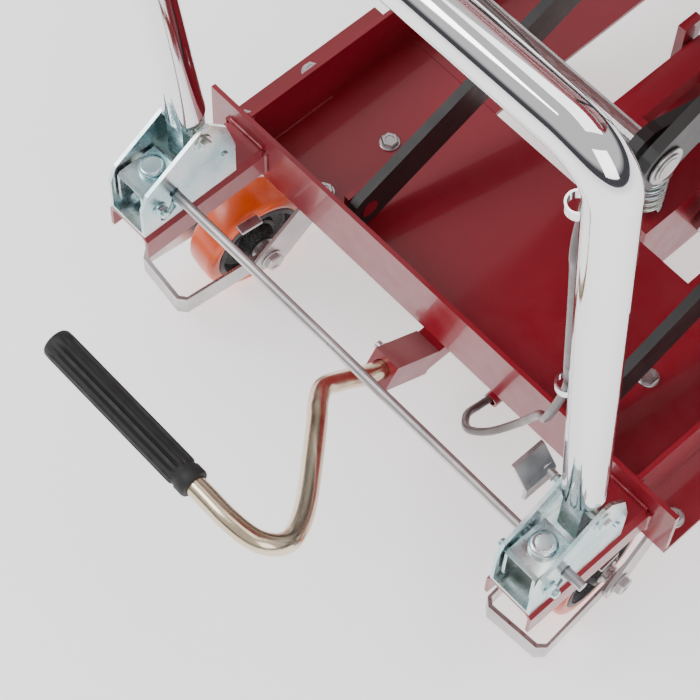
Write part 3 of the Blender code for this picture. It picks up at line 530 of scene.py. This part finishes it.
def build_wheels():
    """Treads and cores of all casters, with bearings."""
    half = WHEEL_HALF
    for name, (x, y, trail, heading) in CASTERS.items():
        turn = Matrix.Rotation(heading, 4, "Z")
        centre = Vector((x, FRONT_Y + y, WHEEL_R)) + turn @ Vector((0, -trail, 0))
        pose = Matrix.Translation(centre) @ turn
        body = name + "_wheel"
        shoulder = [(half - 0.0055 + 0.0055 * math.sin(a), WHEEL_R - 0.0062 + 0.0055 * math.cos(a))
                    for a in (math.pi / 2 * k / 6 for k in range(7))]
        crown = [(-u, r) for u, r in reversed(shoulder)] + [(0, WHEEL_R - 0.0001)] + shoulder
        crown.sort(key=lambda p: p[0])
        tread = turned([(-half + 0.0008, 0.0392), (-half, 0.0404)] + crown
                       + [(half, 0.0404), (half - 0.0008, 0.0392)], 96, closed=True)
        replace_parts(piece(name + " tread", moved(tread, pose), paints["orange_tread"], body),
                    name + "_tread")
        dish = []
        for way in (-1, 1):
            side = [(half * 0.95, 0.0391), (half * 0.99, 0.0385), (half * 0.99, 0.0362),
                    (half * 0.90, 0.0352), (half * 0.42, 0.0325), (half * 0.32, 0.0300),
                    (half * 0.32, 0.0215), (half * 0.42, 0.0205), (half * 0.55, 0.0200),
                    (half * 0.60, 0.0170), (half * 0.95, 0.0155), (half * 1.25, 0.0145),
                    (half * 1.30, 0.0120), (half * 1.22, 0.0112)]
            dish.append([(way * u, r) for u, r in side])
        ring = list(reversed(dish[0])) + dish[1]
        core = turned(ring + [(half * 1.22, 0.0054), (-half * 1.22, 0.0054)], 72, closed=True)
        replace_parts(piece(name + " core", moved(core, pose), paints["black_core"], body),
                    name + "_core")
        for way, word in ((-1, "left"), (1, "right")):
            rim = turned([(way * half * 1.00, 0.0391), (way * (half * 1.00 + 0.0003), 0.0376),
                          (way * (half * 1.00 + 0.0003), 0.0352), (way * half * 0.93, 0.0350),
                          (way * half * 0.93, 0.0388)], 72, closed=True)
            piece(name + " ring " + word, moved(rim, pose), paints["grey_ring"], body)
            bearing = turned([(way * half * 1.23, 0.0108), (way * half * 1.31, 0.0105),
                              (way * half * 1.31, 0.0080), (way * half * 1.55, 0.0078),
                              (way * half * 1.55, 0.0054), (way * half * 1.23, 0.0054)], 40,
                             closed=True)
            piece(name + " bearing " + word, moved(bearing, pose), paints["steel"], body)


def build_caster_details():
    """Axle heads and short brake bars of the front casters."""
    for name in ("front_left", "front_right"):
        x, y, trail, heading = CASTERS[name]
        turn = Matrix.Rotation(heading, 4, "Z")
        centre = Vector((x, FRONT_Y + y, WHEEL_R)) + turn @ Vector((0, -trail, 0))
        pose = Matrix.Translation(centre) @ turn
        shapes = [moved(turned([(0.0302, 0), (0.0302, 0.0050), (-0.0302, 0.0050), (-0.0302, 0)], 20),
                        pose)]
        for way in (-1, 1):
            head = hex_bolt(0.0148, 0.0066, 0.0096)
            shapes.append(moved(head, pose @ along((way * 0.0333, 0, 0), (way, 0, 0))))
        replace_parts(piece(name + " axle", merged(shapes), paints["pale_zinc"], name + "_caster"),
                    name + "_axle")
        pad = moved(box((0.0185, -0.024, 0.0505), (0.0275, -0.004, 0.0535)), pose)
        soften(piece(name + " brake bar", pad, paints["pale_zinc"], name + "_caster"), 0.0008)


def box(low, high):
    (x0, y0, z0), (x1, y1, z1) = low, high
    shape = bmesh.new()
    corners = [shape.verts.new((x, y, z)) for z in (z0, z1) for x, y in
               ((x0, y0), (x1, y0), (x1, y1), (x0, y1))]
    for face in ((3, 2, 1, 0), (4, 5, 6, 7), (0, 1, 5, 4), (1, 2, 6, 5), (2, 3, 7, 6), (3, 0, 4, 7)):
        shape.faces.new([corners[i] for i in face])
    return shape


def build_frame_details():
    """Deck bolts, weld beads and the conduit that takes the release cable."""
    for side, word in ((-1, "left"), (1, "right")):
        for number, (x, y) in enumerate(DECK_BOLTS[word]):
            bolt = moved(hex_bolt(), along(spot(x, y, 0), (0, 0, 1)))
            piece("deck bolt " + word + " " + str(number), bolt, paints["pale_zinc"], "frame")
        for x in (0.2062, 0.2098):
            weld(spot(side * x, 0.0052, 0.004), spot(side * x, 0.0052, 0.052), 0.0022,
                 "wall weld " + word + str(int(x * 1e4)))
        for x in (HANDLE_X - 0.0222, HANDLE_X + 0.0222):
            weld(spot(side * x, -0.0012, 0.009), spot(side * x, -0.0012, 0.033), 0.0022,
                 "mount weld " + word + str(int(x * 1e4)))
        weld(spot(side * (HANDLE_X - 0.019), -0.0008, 0.0355),
             spot(side * (HANDLE_X + 0.019), -0.0008, 0.0355), 0.0024, "mount top weld " + word)
        weld(spot(side * 0.2055, 0.020, 0.0010), spot(side * 0.2055, 0.090, 0.0010), 0.0020,
             "rail weld " + word)
    conduit = swept([spot(0.072, y, -0.0145) for y in (-0.002, 0.010, 0.034)], 0.0062, 28, 0.0045)
    piece("cable conduit", conduit, paints["red_paint"], "frame")


def build_cable():
    """Release cable: along the handle, then the loose loop into its conduit."""
    upper = [handle_point(0.075, HANDLE_TOP) + Vector((0, TUBE_R + 0.006, -0.004)),
             handle_point(0.130, HANDLE_TOP) + Vector((0, TUBE_R + 0.007, -0.012)),
             handle_point(0.172, HANDLE_TOP - 0.045) + Vector((0, TUBE_R + 0.004, 0)),
             handle_point(0.1835, HANDLE_TOP - 0.120), handle_point(0.1840, 0.420),
             handle_point(0.1840, 0.300)]
    lower = [handle_point(0.1840, 0.2995), handle_point(0.1835, 0.262), spot(0.172, -0.074, 0.200),
             spot(0.150, -0.050, 0.140), spot(0.128, -0.038, 0.080), spot(0.106, -0.042, 0.038),
             spot(0.086, -0.042, 0.012), spot(0.072, -0.028, -0.004), spot(0.070, -0.012, -0.012),
             spot(0.071, 0.004, -0.014), spot(0.072, 0.030, -0.014)]
    made = piece("upper cable", swept(smooth_path(upper, 80), CABLE_R, 20), paints["cable"], "handle")
    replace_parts(made, "cable_upper")
    made = piece("lower cable", swept(smooth_path(lower, 120), CABLE_R, 20), paints["cable"], None)
    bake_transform(made)
    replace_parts(made, "cable_lower")


def build_scissor_details():
    """Washers and snap rings on the ends of the scissor shafts."""
    run = ARM_LENGTH * math.cos(ARM_ANGLE)
    rise = ARM_LENGTH * math.sin(ARM_ANGLE)
    y, z = ARM_FOOT
    places = (("lower centre", "lower_outer", y + run / 2, z + rise / 2),
              ("middle front", "lower_inner", y, z + rise),
              ("middle rear", "lower_outer", y + run, z + rise),
              ("upper centre", "upper_outer", y + run / 2, z + rise * 1.5))
    for name, body, at_y, at_z in places:
        for side, word in ((-1, "left"), (1, "right")):
            washer = turned([(0.0004, 0.0081), (0.0004, 0.0135), (0.0009, 0.0140), (0.0020, 0.0140),
                             (0.0024, 0.0136), (0.0024, 0.0081)], 40, closed=True)
            clip = turned([(0.0026, 0.0081), (0.0026, 0.0106), (0.0036, 0.0106), (0.0036, 0.0081)],
                          32, closed=True)
            pose = along(spot(SCISSOR_X + side * ARM_OUTSIDE, at_y, at_z), (side, 0, 0))
            piece(name + " washer " + word, moved(merged([washer, clip]), pose),
                  paints["steel"], body)


def build_pump_details():
    """Return spring and the plugs on the pump block."""
    steps = 220
    path = []
    for k in range(steps + 1):
        a = 2 * math.pi * SPRING_TURNS * k / steps
        path.append(spot(PUMP_X + SPRING_COIL * math.cos(a), PLUNGER_Y + SPRING_COIL * math.sin(a),
                         SPRING_FOOT + SPRING_RISE * k / steps))
    spring = piece("return spring", swept(path, SPRING_WIRE, 12), paints["zinc"], "frame")
    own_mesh(spring)
    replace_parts(spring, "plunger_spring")
    for x, y in ((0.018, 0.330), (0.044, 0.330)):
        piece("pump plug " + str(int(x * 1000)),
              moved(hex_bolt(0.012, 0.006, 0.0076), along(spot(x, y, -0.002), (0, 0, 1))),
              paints["steel"], "frame")


def paint_frame():
    """Finish every CAD node that still shows and soften its edges."""
    slot_of = {part["node"]: part["material_slot"] for part in frame["record"]["subparts"]}
    for name, made in frame["nodes"].items():
        slot = slot_of[name]
        if any(word in name for word in ("fork", "plate")):
            slot = "pale_zinc"
        if "brake" in name:
            slot = "steel"
        if name in ("latch_rod", "release_tab"):
            slot = "pale_zinc"
        made.data.materials.clear()
        made.data.materials.append(paints[slot])
        made.data.shade_smooth()
        made.data.set_sharp_from_angle(angle=math.radians(35))
        soften(made, 0.0008 if slot == "red_paint" else 0.0005)


def build_studio():
    """Pale floor, soft lights, the room and the camera."""
    mesh = bpy.data.meshes.new("floor")
    corners = [(x * FLOOR_REACH, y * FLOOR_REACH, -0.0005)
               for x, y in ((-1, -1), (1, -1), (1, 1), (-1, 1))]
    mesh.from_pydata(corners, [], [(0, 1, 2, 3)])
    mesh.materials.append(pale_floor())
    floor = bpy.data.objects.new("floor", mesh)
    bpy.context.scene.collection.objects.link(floor)
    build_surroundings()
    for name, place, size, power in LIGHTS:
        light = bpy.data.lights.new(name, "AREA")
        light.energy = power
        light.size = size
        lamp = bpy.data.objects.new(name, light)
        bpy.context.scene.collection.objects.link(lamp)
        lamp.location = place
        lamp.rotation_mode = "QUATERNION"
        away = Vector(place) - Vector(LIGHT_TARGET)
        lamp.rotation_quaternion = away.to_track_quat("Z", "Y")
    build_camera()


def build_surroundings():
    """Pale room with a darker band round the horizon, which the chrome reflects."""
    world = bpy.data.worlds.new("studio")
    world.use_nodes = True
    nodes, links = world.node_tree.nodes, world.node_tree.links
    height = nodes.new("ShaderNodeSeparateXYZ")
    links.new(nodes.new("ShaderNodeTexCoord").outputs["Generated"], height.inputs["Vector"])
    band = nodes.new("ShaderNodeValToRGB")
    links.new(height.outputs["Z"], band.inputs["Fac"])
    band.color_ramp.elements[0].position = 0.16
    band.color_ramp.elements[0].color = (0.10, 0.10, 0.11, 1)
    band.color_ramp.elements[1].position = 0.34
    band.color_ramp.elements[1].color = (1, 1, 1, 1)
    links.new(band.outputs["Color"], nodes["Background"].inputs["Color"])
    nodes["Background"].inputs["Strength"].default_value = ROOM_STRENGTH
    bpy.context.scene.world = world


def build_camera():
    """Long-lens camera in front of the handle and above it, looking down from the right."""
    reach = math.cos(CAMERA_PITCH)
    forward = Vector((-math.sin(CAMERA_AZIMUTH) * reach, math.cos(CAMERA_AZIMUTH) * reach,
                      -math.sin(CAMERA_PITCH)))
    level = Vector((math.cos(CAMERA_AZIMUTH), math.sin(CAMERA_AZIMUTH), 0))
    up = level.cross(forward)
    right = math.cos(CAMERA_ROLL) * level + math.sin(CAMERA_ROLL) * up
    up = right.cross(forward)
    data = bpy.data.cameras.new("camera")
    camera = bpy.data.objects.new("camera", data)
    bpy.context.scene.collection.objects.link(camera)
    pose = Matrix((right, up, -forward)).transposed().to_4x4()
    pose.translation = spot(*CAMERA_PLACE)
    camera.matrix_world = pose
    data.sensor_width = 36
    data.lens = CAMERA_LENS
    data.clip_end = 50
    bpy.context.scene.camera = camera


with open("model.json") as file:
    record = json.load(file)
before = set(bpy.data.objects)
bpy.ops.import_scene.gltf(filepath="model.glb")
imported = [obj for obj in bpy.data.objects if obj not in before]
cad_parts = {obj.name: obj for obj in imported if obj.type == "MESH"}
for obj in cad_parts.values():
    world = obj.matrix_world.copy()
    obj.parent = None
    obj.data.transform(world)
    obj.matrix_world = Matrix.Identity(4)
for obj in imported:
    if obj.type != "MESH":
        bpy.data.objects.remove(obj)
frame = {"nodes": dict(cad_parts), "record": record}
save_size()
paints = {"red_paint": red_paint(), "black_paint": black_paint(), "zinc": zinc(),
          "pale_zinc": pale_zinc(), "chrome": chrome(), "gold_zinc": gold_zinc(), "steel": steel(),
          "orange_tread": orange_tread(), "black_core": black_core(), "grey_ring": grey_ring(),
          "rubber": rubber(), "cable": cable()}
paint_frame()
build_handle()
build_latch()
build_pedal()
build_wheels()
build_caster_details()
build_frame_details()
build_cable()
build_scissor_details()
build_pump_details()
build_studio()
save_size()
